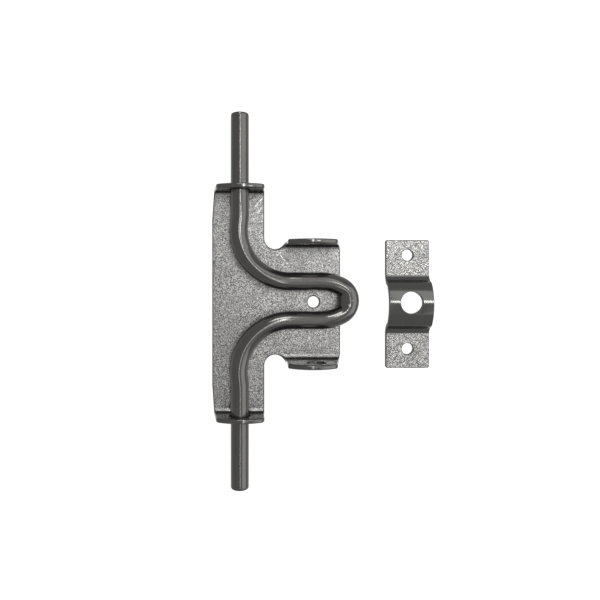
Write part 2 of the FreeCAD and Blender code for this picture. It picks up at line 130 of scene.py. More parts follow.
class BoltSettings(bpy.types.PropertyGroup):
    """The bent bar."""
    diameter: length_setting("Diameter", "Diameter of the round bar", 12.5)
    reach: length_setting("Reach", "From the loop's middle line to each end", 128.0)
    end_round: length_setting("End round", "Radius of the rounded rim at each end", 1.3, precision=5)
    bend_radius: length_setting("Bend radius", "Middle line radius of the two large bends", 35.5)
    bend_swell: length_setting(
        "Bend swell", "How far each large bend bows out past the straight ends", 0.8, precision=5)
    swell_radius: length_setting(
        "Swell radius", "Radius of the slight bend back to the straight ends", 36.0)
    loop_half: length_setting(
        "Loop half width", "From the loop's middle line to each leg's middle line", 13.3)
    loop_reach: length_setting("Loop reach", "From the bolt's axis to the loop's outer tip", 82.3)
    tip_radius: length_setting("Tip radius", "Middle line radius of the loop's tip", 11.2)
    tip_ease: length_setting("Tip ease", "Middle line radius where the legs draw together", 30.0)
    tip_spread: length_setting(
        "Tip spread", "How far the tight bend has spread the bar inwards", 1.4, precision=5)
    tip_half: length_setting(
        "Tip half width", "Half the width of the spread part of the tip", 3.9, precision=5)
    rise: length_setting("Rise", "Height of the bolt's axis over the plate's face", 9.9)
    rest_gap: length_setting(
        "Rest gap", "Gap between the laid down loop and the wing's edge", 0.3, precision=5)
    rest_shift: length_setting(
        "Rest shift", "How far up the bolt rests from its middle place", 1.2, precision=5)
    ring_steps: IntProperty(name="Ring steps", description="Faces round the bar", default=48, min=12)
    path_step: length_setting("Path step", "Spacing of the rings along the bar", 1.0)


class CoatingSettings(bpy.types.PropertyGroup):
    """The dark grey metallic coating, where it is worn, and the light and shade painted into its colours."""
    # painted light and shade: the level flats take the brighter plate colour, as if lit from above, and the
    # folds, ears, rims and arch take the darker smooth colour, as if shaded
    plate_lit_colour: colour_setting(
        "Plate colour", "Coating on the plate and the keeper", 0.0916, 0.0907, 0.0879)
    smooth_shaded_colour: colour_setting(
        "Smooth colour", "Coating where it lies smooth: folds, ears, rims and the arch",
        0.054, 0.0536, 0.0508)
    bolt_colour: colour_setting("Bolt colour", "Coating on the smooth bar", 0.0518, 0.0508, 0.0481)
    # partly painted highlight: bright flecks of grain that also stand for glints of light on the level flats
    fleck_and_glint_colour: colour_setting(
        "Fleck colour", "Bright flecks in the grainy coating", 0.3384, 0.3356, 0.3252)
    pit_colour: colour_setting("Pit colour", "Dark pits in the grainy coating", 0.0235, 0.0233, 0.0223)
    scratch_colour: colour_setting(
        "Scratch colour", "Bright metal in the sheets' scratches", 0.516, 0.5118, 0.501)
    # painted shade: the rounded cut edges are darkened to stand for the shade on them
    edge_shade_colour: colour_setting(
        "Edge colour", "Thick dark paint on the sheets' cut edges", 0.012, 0.012, 0.012)
    bare_colour: colour_setting(
        "Bare colour", "Steel that shows where the coating is scuffed", 0.165, 0.163, 0.1575)
    metallic: share_setting("Metallic", "Share of metal pigment in the coating", 0.8)
    grainy_roughness: share_setting("Grainy roughness", "Roughness of the grainy coating", 0.30)
    smooth_roughness: share_setting("Smooth roughness", "Roughness of the smooth coating", 0.12)
    bolt_roughness: share_setting("Bolt roughness", "Roughness of the bolt's coating", 0.11)
    grain_size: length_setting("Grain size", "Width of one grain of the coating", 0.7, precision=5)
    grain_depth: length_setting("Grain depth", "Depth of the grain", 0.15, precision=6)


class StageSettings(bpy.types.PropertyGroup):
    """The floor, the lamps and the camera."""
    camera_height: length_setting("Camera height", "Height of the camera over the floor", 371.0)
    camera_x: length_setting("Camera X", "The camera's place along X", 12.4)
    camera_y: length_setting("Camera Y", "The camera's place along Y", 18.6)
    frame_width: length_setting("Frame width", "Width of floor that the picture shows", 425.2)
    frame_x: length_setting("Frame X", "The picture's middle along X", 42.2)
    frame_y: length_setting("Frame Y", "The picture's middle along Y", 1.2)
    strip_power: strength_setting(
        "Strip power", "Power of the narrow lamp over the upper end in watts", 2.34)
    strip_low_power: strength_setting(
        "Strip low power", "Power of the narrow lamp over the lower end in watts", 1.26)
    near_power: strength_setting(
        "Near power", "Power of the long panel beside the narrow lamp in watts", 0.756)
    middle_power: strength_setting(
        "Middle power", "Power of the short panel beside the narrow lamp in watts", 0.576)
    right_power: strength_setting("Right power", "Power of the panel over the keeper's side in watts", 2.7)
    lower_power: strength_setting("Lower power", "Power of the panel beside the lower end in watts", 0.9)
    far_power: strength_setting("Far power", "Power of the tall panel far to the right in watts", 14.76)
    back_power: strength_setting("Back power", "Power of the panel beyond the upper end in watts", 5.4)
    key_power: strength_setting("Key power", "Power of the small lamp over the keeper in watts", 1.98)
    soft_light: strength_setting("Soft light", "Strength of the light from all round", 0.28)
    floor_colour: colour_setting("Floor colour", "The pale floor", 0.95, 0.95, 0.95)
    bounce_colour: colour_setting(
        "Bounce colour", "The floor's colour for the light that it throws back", 0.12, 0.12, 0.12)
    floor_glow: share_setting("Floor glow", "Share of the white floor that shadows leave alone", 0.85)
    floor_white: strength_setting("Floor white", "Strength of the floor's own white", 1.12)


def settings():
    """The latch's settings in the open scene."""
    return bpy.context.scene.slide_bolt


# helpers for node trees

def wire(tree, node, inputs):
    """Links the node's inputs to sockets, or gives them plain values."""
    for key, item in inputs.items():
        if isinstance(item, bpy.types.NodeSocket):
            tree.links.new(item, node.inputs[key])
        else:
            node.inputs[key].default_value = item


def add_node(tree, kind, inputs=None, **values):
    """A node with its settings and its inputs, which are sockets or values."""
    node = tree.nodes.new(kind)
    for key, item in values.items():
        setattr(node, key, item)
    wire(tree, node, inputs or {})
    return node


def maths(tree, operation, a, b=None, clamp=False):
    """A Math node: a and b are sockets or numbers."""
    inputs = {0: a} if b is None else {0: a, 1: b}
    return add_node(tree, "ShaderNodeMath", inputs=inputs, operation=operation, use_clamp=clamp).outputs[0]


def times(tree, a, b):
    return maths(tree, "MULTIPLY", a, b)


def plus(tree, a, b):
    return maths(tree, "ADD", a, b)


def minus(tree, a, b, clamp=False):
    return maths(tree, "SUBTRACT", a, b, clamp)


def highest(tree, masks):
    """The strongest of several masks."""
    top = masks[0]
    for mask in masks[1:]:
        top = maths(tree, "MAXIMUM", top, mask)
    return top


def ramp(tree, source, low, high, out_low=0.0, out_high=1.0):
    """A value stretched so that low to high becomes out_low to out_high, smoothly and held at the ends."""
    return add_node(tree, "ShaderNodeMapRange", interpolation_type="SMOOTHSTEP", inputs={
        "Value": source, "From Min": low, "From Max": high, "To Min": out_low,
        "To Max": out_high}).outputs["Result"]


def fall(tree, source, low, high):
    """One up to low, nothing from high on, and smooth between them."""
    return ramp(tree, source, low, high, 1.0, 0.0)


def split(tree, vector):
    """The X, Y and Z of a vector."""
    return add_node(tree, "ShaderNodeSeparateXYZ", inputs={0: vector}).outputs


def noise(tree, vector, scale, **inputs):
    """The value of a noise pattern; scale is a socket or a number."""
    return add_node(
        tree, "ShaderNodeTexNoise", inputs={"Vector": vector, "Scale": scale, **inputs}).outputs[0]


def blend(tree, factor, a, b):
    """A colour mix: a and b are sockets or colours."""
    return add_node(tree, "ShaderNodeMix", data_type="RGBA", inputs={0: factor, 6: a, 7: b}).outputs[2]


def make_group(name, vectors, numbers, outputs):
    """A shader node group: named vectors, numbers with their defaults, and the numbers that it puts out."""
    tree = bpy.data.node_groups.new(name, "ShaderNodeTree")
    for label in vectors:
        tree.interface.new_socket(label, in_out="INPUT", socket_type="NodeSocketVector")
    for label, default in numbers.items():
        socket = tree.interface.new_socket(label, in_out="INPUT", socket_type="NodeSocketFloat")
        socket.default_value = default
    for label in outputs:
        tree.interface.new_socket(label, in_out="OUTPUT", socket_type="NodeSocketFloat")
    return tree, tree.nodes.new("NodeGroupInput").outputs, tree.nodes.new("NodeGroupOutput")


def use_group(tree, group, inputs):
    """The outputs of a group with its own values."""
    return add_node(tree, "ShaderNodeGroup", inputs=inputs, node_tree=group).outputs


# effects that several coatings share

# how much closer the fine lumps and the flecks lie than the lumps, and how high the fine ones stand
FINE_SCALE = 2.3
FLECK_SCALE = 1.2
FINE_HEIGHT = 0.3
# large, faint clouds in the coating, in clouds per metre
MOTTLE_SCALE = 70.0
# the noise values between which a fleck, a pit or a cloud begins and is full
FLECK_NOISE = (0.48, 0.62)
PIT_NOISE = (0.36, 0.50)
MOTTLE_NOISE = (0.35, 0.65)


def grain_group():
    """The grainy skin of sprayed coating: small rounded lumps, with a fleck of light on some."""
    name = "Coating Grain"
    if name in bpy.data.node_groups:
        return bpy.data.node_groups[name]
    tree, given, result = make_group(
        name, ["Vector"], {"Grains per metre": 800.0}, ["Height", "Fleck", "Pit", "Mottle"])
    place, scale = given["Vector"], given["Grains per metre"]
    lumps = noise(tree, place, scale, Detail=2.0, Roughness=0.55, Distortion=0.3)
    fine = noise(tree, place, times(tree, scale, FINE_SCALE), Detail=1.0)
    flecks = noise(tree, place, times(tree, scale, FLECK_SCALE), Detail=3.0, Roughness=0.7)
    mottle = noise(tree, place, MOTTLE_SCALE, Detail=3.0)
    wire(tree, result, {
        "Height": plus(tree, lumps, times(tree, fine, FINE_HEIGHT)),
        "Fleck": ramp(tree, flecks, *FLECK_NOISE),
        "Pit": fall(tree, flecks, *PIT_NOISE),
        "Mottle": ramp(tree, mottle, *MOTTLE_NOISE)})
    return tree


# how level a face is, from where grain and the flats' painted light begin to where they are full, on the
# flats and on the folds
FLAT_LEVEL = (0.95, 0.985)
FOLD_LEVEL = (0.66, 0.76)
# heights over the sheet's face: where the flats end, and where the grain and painted light of a fold begin
# and end
FLAT_END = (0.02 * MM, 0.2 * MM)
FOLD_START = (0.0, 0.02 * MM)
FOLD_END = (1.6 * MM, 2.2 * MM)


def grainy_group():
    """Where the coating lies grainy and takes the flats' painted light: on the sheet's flats and, by a share,
    at the start of its folds.
    """
    name = "Grainy Faces"
    if name in bpy.data.node_groups:
        return bpy.data.node_groups[name]
    tree, given, result = make_group(
        name, ["Vector", "Normal"], {"Thickness": 3.2 * MM, "Fold share": 1.0}, ["Mask"])
    level = maths(tree, "ABSOLUTE", split(tree, given["Normal"])["Z"])
    over = minus(tree, split(tree, given["Vector"])["Z"], given["Thickness"])
    flats = times(tree, ramp(tree, level, *FLAT_LEVEL), fall(tree, over, *FLAT_END))
    above = times(tree, ramp(tree, over, *FOLD_START), fall(tree, over, *FOLD_END))
    folds = times(tree, times(tree, ramp(tree, level, *FOLD_LEVEL), above), given["Fold share"])
    wire(tree, result, {"Mask": maths(tree, "MAXIMUM", flats, folds)})
    return tree


# the sum of nearness and noise at which the coating starts to go, and how much more takes it all off
RUB_START = 0.95
RUB_RANGE = 0.16


def scuff_group():
    """A patch where the coating is rubbed through: strongest at its middle, broken up by grain."""
    name = "Rubbed Patch"
    if name in bpy.data.node_groups:
        return bpy.data.node_groups[name]
    tree, given, result = make_group(
        name, ["Vector", "Middle"], {"Reach": 6.0 * MM, "Break up": 900.0}, ["Mask"])
    away = add_node(tree, "ShaderNodeVectorMath", operation="DISTANCE", inputs={
        0: given["Vector"], 1: given["Middle"]}).outputs["Value"]
    near = minus(tree, 1.0, maths(tree, "DIVIDE", away, given["Reach"]), clamp=True)
    grain = noise(tree, given["Vector"], given["Break up"], Detail=3.0, Roughness=0.65)
    broken = minus(tree, plus(tree, near, grain), RUB_START)
    wire(tree, result, {"Mask": ramp(tree, broken, 0.0, RUB_RANGE)})
    return tree


# shares of a scratch's half width and half length at which it starts to fade and is gone
SCRATCH_SIDE = (0.4, 1.0)
SCRATCH_END = (0.6, 1.0)
# the noise that breaks a scratch up: its waves per metre, and the values where metal begins and is full
SCRATCH_WAVES = 700.0
SCRATCH_NOISE = (0.35, 0.6)


def scratch_group():
    """One straight scratch: a thin line through a point, at an angle in the XY plane."""
    name = "Scratch"
    if name in bpy.data.node_groups:
        return bpy.data.node_groups[name]
    tree, given, result = make_group(
        name, ["Vector", "Middle", "Turn"], {"Half length": 4.0 * MM, "Half width": 0.3 * MM}, ["Mask"])
    moved = add_node(tree, "ShaderNodeVectorMath", operation="SUBTRACT", inputs={
        0: given["Vector"], 1: given["Middle"]})
    turned = add_node(tree, "ShaderNodeVectorRotate", rotation_type="EULER_XYZ", invert=True, inputs={
        "Vector": moved.outputs[0], "Rotation": given["Turn"]})
    parts = split(tree, turned.outputs[0])
    along = maths(tree, "DIVIDE", maths(tree, "ABSOLUTE", parts["X"]), given["Half length"])
    across = maths(tree, "DIVIDE", maths(tree, "ABSOLUTE", parts["Y"]), given["Half width"])
    mark = times(tree, fall(tree, across, *SCRATCH_SIDE), fall(tree, along, *SCRATCH_END))
    grain = noise(tree, given["Vector"], SCRATCH_WAVES, Detail=2.0)
    wire(tree, result, {"Mask": times(tree, mark, ramp(tree, grain, *SCRATCH_NOISE))})
    return tree


# the coatings

# how much duller the rounded edges under their painted shade are than the smooth coating
RIM_DULLNESS = 0.4
# how far the clouds darken and dull the coating, and the share of flecks and pits left between them
MOTTLE_TONE = 0.12
MOTTLE_DULLNESS = 0.04
LEAST_CONTRAST = 0.7
# the grain that shows everywhere, and the little more on the bar
BASE_GRAIN = 0.05
BOLT_GRAIN = 0.03
# the plate's scratches, in millimetres: middle along X and Y, turn in degrees, half length and half width
SCRATCHES = ((13.0, 69.8, 50.0, 4.6, 0.42), (13.8, 64.5, 62.0, 3.0, 0.3), (30.5, 30.0, 128.0, 5.0, 0.3),
             (27.0, 33.5, 40.0, 2.6, 0.3))
# how level a rounded edge is where its painted shade fades out, and at which heights over the plate's face
RIM_LEVEL = (0.9, 0.995)
RIM_END = (0.8 * MM, 2.8 * MM)
# how far a face of the keeper turns sideways where the painted shade of its edges begins and is full
STRAP_RIM = (0.04, 0.3)
# the bare spot at the keeper's upper corner: its place along X and Y, and its reach
CORNER_SPOT = (131.5 * MM, 41.5 * MM)
CORNER_REACH = 2.2 * MM


def new_material(name):
    """A material with its tree, its shader and the places that its patterns read."""
    material = bpy.data.materials.new(name)
    material.use_nodes = True
    tree = material.node_tree
    return material, tree, tree.nodes["Principled BSDF"], tree.nodes.new("ShaderNodeTexCoord").outputs


def finish_coating(tree, shader, place, colour, roughness, grain_share, worn, worn_colour):
    """Colours, roughness and bump of a coating: colour, roughness and grain_share are sockets or values."""
    coat = settings().coating
    grain = use_group(tree, grain_group(), {"Vector": place, "Grains per metre": 1.0 / coat.grain_size})
    contrast = times(tree, grain_share, ramp(tree, grain["Mottle"], 0.0, 1.0, LEAST_CONTRAST, 1.0))
    toned = blend(tree, times(tree, grain["Mottle"], MOTTLE_TONE), colour, coat.pit_colour)
    pitted = blend(tree, times(tree, grain["Pit"], contrast), toned, coat.pit_colour)
    # bright flecks of grain, partly painted glints, where the grain shows
    flecked = blend(tree, times(tree, grain["Fleck"], contrast), pitted, coat.fleck_and_glint_colour)
    bump = add_node(tree, "ShaderNodeBump", inputs={
        "Strength": 1.0, "Distance": coat.grain_depth,
        "Height": times(tree, grain["Height"], plus(tree, grain_share, BASE_GRAIN))})
    wire(tree, shader, {
        "Base Color": blend(tree, worn, flecked, worn_colour),
        "Metallic": coat.metallic,
        "Roughness": plus(tree, roughness, times(tree, grain["Mottle"], MOTTLE_DULLNESS)),
        "Normal": bump.outputs["Normal"]})


def sheet_finish(tree, shader, place, mask, rim, worn, worn_colour):
    """The sheet's coating: grainy and painted lighter where the mask says so, else smooth and painted darker,
    with painted shade on its rounded edges.
    """
    coat = settings().coating
    clear = minus(tree, 1.0, rim)
    # painted light and shade: the mask picks the lit plate colour or the shaded smooth colour, and the rim
    # darkens the edges with painted shade
    tone = blend(tree, rim, blend(tree, mask, coat.smooth_shaded_colour, coat.plate_lit_colour), coat.edge_shade_colour)
    more = times(tree, mask, coat.grainy_roughness - coat.smooth_roughness)
    rough = plus(tree, plus(tree, more, coat.smooth_roughness), times(tree, rim, RIM_DULLNESS))
    finish_coating(tree, shader, place, tone, rough, times(tree, mask, clear), worn, worn_colour)
    wire(tree, shader, {"Metallic": times(tree, clear, coat.metallic)})


def plate_coating():
    """Grainy and painted lighter on the flat faces, smoother and painted darker up the ears and folds, with
    painted shade on the cut edges.
    """
    name = "Plate coating"
    if name in bpy.data.materials:
        return bpy.data.materials[name]
    coat, thickness = settings().coating, settings().sheet.thickness
    material, tree, shader, place = new_material(name)
    grainy = use_group(tree, grainy_group(), {
        "Vector": place["Object"], "Normal": place["Normal"], "Thickness": thickness})
    worn = highest(tree, [use_group(tree, scratch_group(), {
        "Vector": place["Object"], "Middle": (x * MM, y * MM, thickness), "Turn": (0.0, 0.0, radians(turn)),
        "Half length": half_length * MM, "Half width": half_width * MM})["Mask"]
        for x, y, turn, half_length, half_width in SCRATCHES])
    # painted shade on the rounded cut edges, fading out where they turn level and above the plate's face
    rounded = add_node(tree, "ShaderNodeAttribute", attribute_name=RIM).outputs["Fac"]
    steep = times(tree, rounded, fall(tree, split(tree, place["Normal"])["Z"], *RIM_LEVEL))
    height = split(tree, place["Object"])["Z"]
    rim = times(tree, steep, fall(tree, height, thickness + RIM_END[0], thickness + RIM_END[1]))
    sheet_finish(tree, shader, place["Object"], grainy["Mask"], rim, worn, coat.scratch_colour)
    return material


def bolt_coating():
    """Smooth on the drawn bar, rubbed at the loop's tip and the ends."""
    name = "Bolt coating"
    if name in bpy.data.materials:
        return bpy.data.materials[name]
    coat, bolt = settings().coating, settings().bolt
    material, tree, shader, place = new_material(name)
    # the middle and the reach of each rubbed spot: two at the loop's tip and one near the top of each end
    end_height = settings().sheet.thickness + bolt.rise + bolt.diameter / 2 - 2.0 * MM
    spots = (
        ((74.5 * MM, -1.8 * MM, 15.6 * MM), 2.0 * MM), ((76.5 * MM, 1.4 * MM, 15.2 * MM), 1.6 * MM),
        ((0.5 * MM, bolt.reach, end_height), 3.6 * MM), ((1.0 * MM, -bolt.reach, end_height), 3.0 * MM))
    worn = highest(tree, [use_group(tree, scuff_group(), {
        "Vector": place["Object"], "Middle": middle, "Reach": reach})["Mask"] for middle, reach in spots])
    finish_coating(tree, shader, place["Object"], coat.bolt_colour, coat.bolt_roughness, BOLT_GRAIN, worn,
                   coat.bare_colour)
    return material


def keeper_coating():
    """Grainy and painted lighter on the feet, smooth and painted darker over the arch, with painted shade on
    the sideways faces.
    """
    name = "Keeper coating"
    if name in bpy.data.materials:
        return bpy.data.materials[name]
    coat, thickness = settings().coating, settings().sheet.thickness
    material, tree, shader, place = new_material(name)
    grainy = use_group(tree, grainy_group(), {
        "Vector": place["Object"], "Normal": place["Normal"], "Thickness": thickness, "Fold share": 0.0})
    worn = use_group(tree, scuff_group(), {
        "Vector": place["Object"], "Middle": (*CORNER_SPOT, thickness), "Reach": CORNER_REACH})
    # painted shade on the faces that turn sideways: the keeper's cut edges
    rim = ramp(tree, maths(tree, "ABSOLUTE", split(tree, place["Normal"])["X"]), *STRAP_RIM)
    sheet_finish(tree, shader, place["Object"], grainy["Mask"], rim, worn["Mask"], coat.bare_colour)
    return material


# meshes

# points of the keeper's strap this close are one; edges this level are left out, this sharp are rounded
MERGE_DISTANCE = 0.002 * MM
LEVEL_ANGLE = radians(0.2)
SHARP_ANGLE = radians(50.0)


def link_piece(name, data):
    """A new object in the scene."""
    piece = bpy.data.objects.new(name, data)
    bpy.context.scene.collection.objects.link(piece)
    return piece


def shape_piece(name, shape):
    """A piece out of a finished shape, which is freed."""
    mesh = bpy.data.meshes.new(name)
    shape.to_mesh(mesh)
    shape.free()
    return link_piece(name, mesh)


def plain_mesh(piece):
    """The piece with its modifiers as a plain mesh."""
    graph = bpy.context.evaluated_depsgraph_get()
    return bpy.data.meshes.new_from_object(piece.evaluated_get(graph), depsgraph=graph)


def coat_sheet(piece, material):
    """Shades the flats flat and the rounded edges round, then leaves a plain mesh with its coating."""
    old = piece.data
    old.shade_smooth()
    even = piece.modifiers.new("Even shading", "WEIGHTED_NORMAL")
    even.keep_sharp = False
    mesh = plain_mesh(piece)
    piece.modifiers.clear()
    piece.data = mesh
    mesh.name = piece.name
    bpy.data.meshes.remove(old)
    mesh.materials.clear()
    mesh.materials.append(material)


def rounded_strap(node, name):
    """The strap of a CAD node with its cut edges rounded, as thick paint leaves them."""
    sheet = settings().sheet
    shape = bmesh.new()
    shape.from_mesh(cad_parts[node].data)
    bmesh.ops.remove_doubles(shape, verts=shape.verts, dist=MERGE_DISTANCE)
    bmesh.ops.dissolve_limit(shape, angle_limit=LEVEL_ANGLE, verts=shape.verts, edges=shape.edges)
    piece = shape_piece(name, shape)
    bevel = piece.modifiers.new("Edges", "BEVEL")
    bevel.width = sheet.strap_round
    bevel.segments = sheet.edge_steps
    bevel.limit_method = "ANGLE"
    bevel.angle_limit = SHARP_ANGLE
    bevel.use_clamp_overlap = False
    bevel.loop_slide = False
    return piece


# the plate's sheet, drawn flat and then folded

# spacing of the points on the outline's arcs, and the fewest steps on one
ARC_STEP = 0.5 * MM
LEAST_ARC_STEPS = 6
# how far the points of an ear's bow keep from the rounded corners beside it
BOW_CLEARANCE = 0.3 * MM
# keeps the points at sharp corners near: they move in by no more than the distance over this
LEAST_MITRE = 0.5
# points this near to a fold's strip line lie on it
STRIP_TOLERANCE = 0.01 * MM


def bend_length(sheet):
    """Length of flat sheet that one square fold takes up, along the middle of the sheet."""
    return (sheet.fold_radius + sheet.thickness / 2) * pi / 2


def flat_place(sheet, face, height):
    """How far out on the flat sheet a height on an ear lies; face is the place of the ear's inner face."""
    return face - sheet.fold_radius + bend_length(sheet) + height - sheet.thickness - sheet.fold_radius


def flat_arc(centre, radius, start, stop):
    """Points on an arc of the flat sheet, both ends included."""
    count = max(LEAST_ARC_STEPS, round(abs(stop - start) * radius / ARC_STEP))
    return [centre + Vector((cos(angle), sin(angle))) * radius
            for angle in (start + (stop - start) * i / count for i in range(count + 1))]


def rounded_corner(before, corner, after, radius):
    """The arc that rounds a corner between two neighbouring points."""
    back, on = (before - corner).normalized(), (after - corner).normalized()
    half = acos(back.dot(on)) / 2
    centre = corner + (back + on).normalized() * radius / sin(half)
    first = corner + back * radius / tan(half) - centre
    last = corner + on * radius / tan(half) - centre
    start, turn = atan2(first.y, first.x), atan2(last.y, last.x) - atan2(first.y, first.x)
    turn -= 2 * pi * round(turn / (2 * pi))
    return flat_arc(centre, radius, start, start + turn)


def ear_outline(right_foot, right_top, left_top, left_foot, crown, corner):
    """An ear's outline: from the right side over the bowed top, with rounded corners, to the left side."""
    middle, half = (right_top + left_top) / 2, (right_top - left_top).length / 2
    radius = (half ** 2 + crown ** 2) / (2 * crown)
    centre = middle + Vector((0.0, crown - radius))
    start = atan2(radius - crown, half)
    bow = flat_arc(centre, radius, start, pi - start)
    # the corners take the direction of the bow a short way in
    lead = round(corner / ARC_STEP)
    first = rounded_corner(right_foot, right_top, bow[lead // 2], corner)
    last = rounded_corner(left_foot, left_top, bow[-1 - lead // 2], corner)[::-1]
    left, right = last[0].x + BOW_CLEARANCE, first[-1].x - BOW_CLEARANCE
    return first + [point for point in bow if left < point.x < right] + last


def plate_outline(sheet):
    """The plate's flat outline, anticlockwise: the upper half, then its mirror image."""
    def spot(x, face, height):
        return Vector((x, flat_place(sheet, face, height)))
    lock, guide = sheet.lock_face, sheet.guide_face
    notch = (sheet.lock_left - sheet.column_right) / 2
    wing_edge, ear_left = sheet.wing_reach - sheet.lock_lean, sheet.guide_lean - sheet.guide_left
    upper = [Vector((sheet.wing_reach, 0.0)), Vector((sheet.wing_reach, lock - sheet.fold_radius))]
    upper += ear_outline(
        spot(sheet.wing_reach, lock, sheet.thickness), spot(wing_edge, lock, sheet.lock_side),
        spot(sheet.lock_left, lock, sheet.lock_side), spot(sheet.lock_left, lock, sheet.thickness),
        sheet.lock_crown, sheet.lock_corner)
    upper += flat_arc(Vector((sheet.column_right + notch, sheet.notch_bottom + notch)), notch, 0.0, -pi)
    upper += ear_outline(
        spot(sheet.column_right, guide, sheet.thickness), spot(sheet.column_right, guide, sheet.guide_side),
        spot(ear_left, guide, sheet.guide_side), spot(-sheet.guide_left, guide, sheet.thickness),
        sheet.guide_crown, sheet.guide_corner)
    upper += [Vector((-sheet.guide_left, guide)), Vector((-sheet.column_left, sheet.taper_start))]
    return upper + [Vector((point.x, -point.y)) for point in reversed(upper[1:])]


def plate_holes(sheet, axis_height):
    """The holes of the flat plate, clockwise: the screw hole, the bolt's guide holes, the padlock holes."""
    lock_middle = (sheet.lock_left + sheet.wing_reach) / 2
    rows = [(Vector((sheet.screw_place, 0.0)), sheet.screw_hole)]
    for way in (1, -1):
        guide = way * flat_place(sheet, sheet.guide_face, axis_height)
        lock = way * flat_place(sheet, sheet.lock_face, sheet.lock_hole_height)
        rows += [(Vector((0.0, guide)), sheet.guide_hole), (Vector((lock_middle, lock)), sheet.lock_hole)]
    return [flat_arc(centre, diameter / 2, 2 * pi, 0.0)[1:] for centre, diameter in rows]


def moved_in(loop, distance):
    """A closed loop moved into the material, which lies on its left."""
    moved = []
    for i, point in enumerate(loop):
        before, after = (point - loop[i - 1]).normalized(), (loop[(i + 1) % len(loop)] - point).normalized()
        inward = Vector((-before.y, before.x))
        mitre = (inward + Vector((-after.y, after.x))).normalized()
        moved.append(point + mitre * distance / max(LEAST_MITRE, mitre.dot(inward)))
    return moved


def flat_sheet(sheet, loops):
    """A closed flat sheet with rounded edges, between z = 0 and its thickness."""
    shape, steps = bmesh.new(), sheet.edge_steps
    rim = shape.verts.layers.float.new(RIM)
    quarter = [pi / 2 * i / steps for i in range(steps + 1)]
    lower = [(sheet.edge_round * (1.0 - sin(a)), sheet.edge_round * (1.0 - cos(a))) for a in quarter]
    rims = lower + [(inset, sheet.thickness - height) for inset, height in reversed(lower)]
    borders = [[], []]
    for loop in loops:
        rings = [[shape.verts.new((*point, height)) for point in moved_in(loop, inset)]
                 for inset, height in rims]
        for vert in [vert for ring in rings[1:-1] for vert in ring]:
            vert[rim] = 1.0
        for low, high in zip(rings, rings[1:]):
            for i in range(len(loop)):
                shape.faces.new((low[i - 1], low[i], high[i], high[i - 1]))
        for border, ring in zip(borders, (rings[0], rings[-1])):
            border += [shape.edges.get((ring[i - 1], ring[i])) for i in range(len(loop))]
    for border in borders:
        bmesh.ops.triangle_fill(shape, edges=border, use_beauty=True, use_dissolve=False)
    bmesh.ops.recalc_face_normals(shape, faces=shape.faces)
    return shape


def fold_up(sheet, shape):
    """Turns the ears up: each point past a fold's start goes round the fold and then straight up."""
    length, middle = bend_length(sheet), sheet.fold_radius + sheet.thickness / 2
    for face in (sheet.lock_face, sheet.guide_face):
        for i in range(sheet.fold_steps + 1):
            for way in (1, -1):
                place = way * (face - sheet.fold_radius + length * i / sheet.fold_steps)
                bmesh.ops.bisect_plane(
                    shape, geom=[*shape.verts, *shape.edges, *shape.faces], dist=STRIP_TOLERANCE,
                    plane_co=(0.0, place, 0.0), plane_no=(0.0, 1.0, 0.0))
    # the middle of the notches parts the wing's folds from the column's
    parting = (sheet.lock_left + sheet.column_right) / 2
    for vert in shape.verts:
        x, along, height = vert.co
        way = 1.0 if along > 0.0 else -1.0
        start = (sheet.lock_face if x > parting else sheet.guide_face) - sheet.fold_radius
        past, reach = abs(along) - start, sheet.fold_radius + sheet.thickness - height
        if past <= 0.0:
            continue
        angle = min(past / middle, pi / 2)
        rest = max(0.0, past - length)
        vert.co = (x, way * (start + reach * sin(angle)),
                   sheet.fold_radius + sheet.thickness - reach * cos(angle) + rest)


def folded_plate(name):
    """The back plate: its flat sheet with rounded edges, folded."""
    sheet = settings().sheet
    loops = [plate_outline(sheet), *plate_holes(sheet, sheet.thickness + settings().bolt.rise)]
    shape = flat_sheet(sheet, loops)
    fold_up(sheet, shape)
    return shape_piece(name, shape)


# the bar, led along one line

# rings that round the rim at each end of the bar, and the closer spacing of the rings at the loop's tip
END_RINGS = 6
TIP_SPACING = 0.6


def arc_points(centre, radius, start, stop, step):
    """Points on an arc, without its first one, spaced by about one step."""
    count = max(2, round(abs(stop - start) * radius / step))
    return [centre + Vector((cos(a), sin(a), 0)) * radius
            for a in (start + (stop - start) * i / count for i in range(1, count + 1))]


def line_points(start, stop, step):
    """Points on a straight, without its first one."""
    count = max(1, round((stop - start).length / step))
    return [start.lerp(stop, i / count) for i in range(1, count + 1)]


def tip_shape(bolt):
    """The tip's turn, its middle's place along X and the place where the legs start to draw together."""
    turn = acos((bolt.tip_ease - bolt.loop_half) / (bolt.tip_ease - bolt.tip_radius))
    middle = bolt.loop_reach - bolt.diameter / 2 - bolt.tip_radius
    return turn, middle, middle - (bolt.tip_ease - bolt.tip_radius) * sin(turn)


